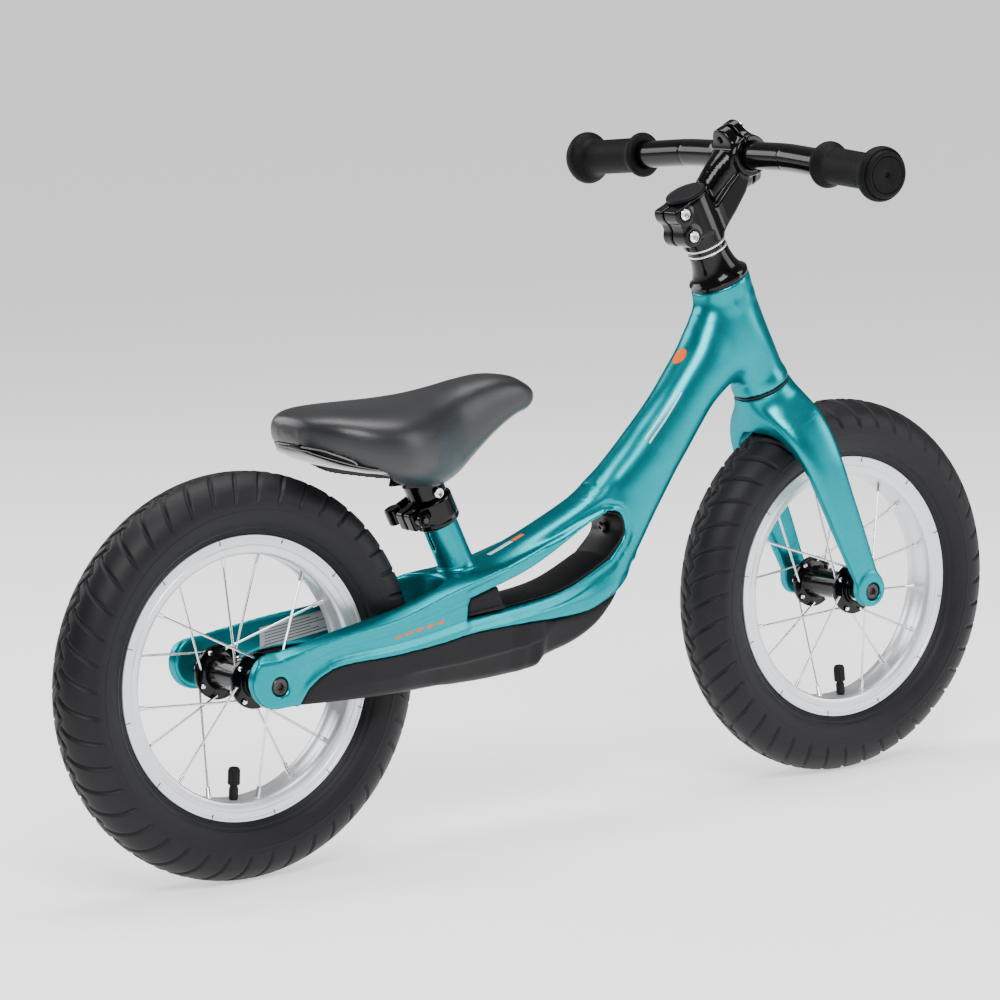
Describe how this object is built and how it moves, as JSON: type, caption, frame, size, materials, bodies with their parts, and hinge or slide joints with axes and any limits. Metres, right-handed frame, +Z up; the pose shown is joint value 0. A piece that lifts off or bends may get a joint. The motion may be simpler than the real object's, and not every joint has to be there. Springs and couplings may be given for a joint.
{
  "type": "balance bike",
  "caption": "Child's balance bike: a cast frame with a carrying handle and footrest, a cast fork, spoked wheels on air tyres, a padded saddle on a clamped post and a straight handlebar.",
  "frame": {"origin": "on the ground, at the middle of the bike's bounding box, about midway between the axles", "axes": "+X forward, the way the bike rolls; +Y to the rider's left; +Z up"},
  "size_m": [0.887, 0.389, 0.5387],
  "materials": {
    "teal_paint": "gloss",
    "black_plastic": "matte",
    "gloss_black_shell": "gloss",
    "vinyl": "satin",
    "black_rubber": "matte",
    "tyre_rubber": "matte",
    "gloss_black_alloy": "gloss",
    "gloss_black_steel": "gloss",
    "black_steel": "satin",
    "silver_alloy": "satin",
    "bright_steel": "polished"
  },
  "bodies": {
    "frame": {"frame": "teal_paint", "footrest_cover": "black_plastic", "handle_lining": "black_rubber", "opening_block": "black_plastic", "cover_screw_1": "bright_steel", "cover_screw_2": "bright_steel", "seat_clamp": "gloss_black_alloy", "clamp_skewer": "bright_steel", "clamp_nut": "gloss_black_steel", "headset_bearing_lower": "bright_steel", "headset_bearing_upper": "bright_steel", "rear_axle": "bright_steel", "rear_spacer_left": "black_steel", "rear_spacer_right": "black_steel", "rear_axle_bolt_left": "black_steel", "rear_axle_bolt_right": "black_steel"},
    "steering": {"fork": "teal_paint", "steerer_tube": "bright_steel", "crown_seal": "black_rubber", "headset_cover": "gloss_black_alloy", "spacer_ring_lower": "silver_alloy", "spacer_ring_middle": "gloss_black_alloy", "spacer_ring_upper": "silver_alloy", "stem": "gloss_black_alloy", "stem_top_cap": "black_plastic", "stem_bolt_lower": "bright_steel", "stem_bolt_upper": "bright_steel", "bar_clamp_cap": "gloss_black_alloy", "bar_clamp_bolt_lower": "bright_steel", "bar_clamp_bolt_upper": "bright_steel", "front_axle": "bright_steel", "front_spacer_left": "black_steel", "front_spacer_right": "black_steel", "front_axle_bolt_left": "black_steel", "front_axle_bolt_right": "black_steel"},
    "bars": {"handlebar": "gloss_black_steel", "grip_left": "black_rubber", "grip_right": "black_rubber"},
    "front_wheel": {"front_tyre": "tyre_rubber", "front_inner_tube": "black_rubber", "front_valve_cap": "black_plastic", "front_rim": "silver_alloy", "front_spokes": "bright_steel", "front_hub": "gloss_black_alloy", "front_bearing_left": "bright_steel", "front_bearing_right": "bright_steel"},
    "rear_wheel": {"rear_tyre": "tyre_rubber", "rear_inner_tube": "black_rubber", "rear_valve_cap": "black_plastic", "rear_rim": "silver_alloy", "rear_spokes": "bright_steel", "rear_hub": "gloss_black_alloy", "rear_bearing_left": "bright_steel", "rear_bearing_right": "bright_steel"},
    "seat": {"seat_post": "gloss_black_steel", "saddle_bracket": "gloss_black_steel", "saddle_base": "gloss_black_shell", "saddle_pad": "vinyl", "saddle_bolt": "bright_steel"},
    "lever": {"clamp_lever": "gloss_black_alloy"}
  },
  "joints": [
    {"name": "steer", "type": "hinge", "parent": "frame", "child": "steering", "pos_m": [0.297, 0, 0.1535], "axis": [-0.4195, 0, 0.9078], "range_deg": [-60, 60]},
    {"name": "handlebar_tilt", "type": "hinge", "parent": "steering", "child": "bars", "pos_m": [0.19798, 0, 0.51203], "axis": [0, 1, 0], "range_deg": [-20, 20]},
    {"name": "front_wheel_spin", "type": "hinge", "parent": "steering", "child": "front_wheel", "pos_m": [0.29, 0, 0.1535], "axis": [0, 1, 0], "continuous": true},
    {"name": "rear_wheel_spin", "type": "hinge", "parent": "frame", "child": "rear_wheel", "pos_m": [-0.29, 0, 0.1535], "axis": [0, 1, 0], "continuous": true},
    {"name": "saddle_height", "type": "slide", "parent": "frame", "child": "seat", "axis": [-0.4067, 0, 0.9135], "range_m": [0, 0.04]},
    {"name": "seat_clamp_lever", "type": "hinge", "parent": "frame", "child": "lever", "pos_m": [-0.12737, 0.0242, 0.25407], "axis": [-0.4067, 0, 0.9135], "range_deg": [0, 150]}
  ]
}
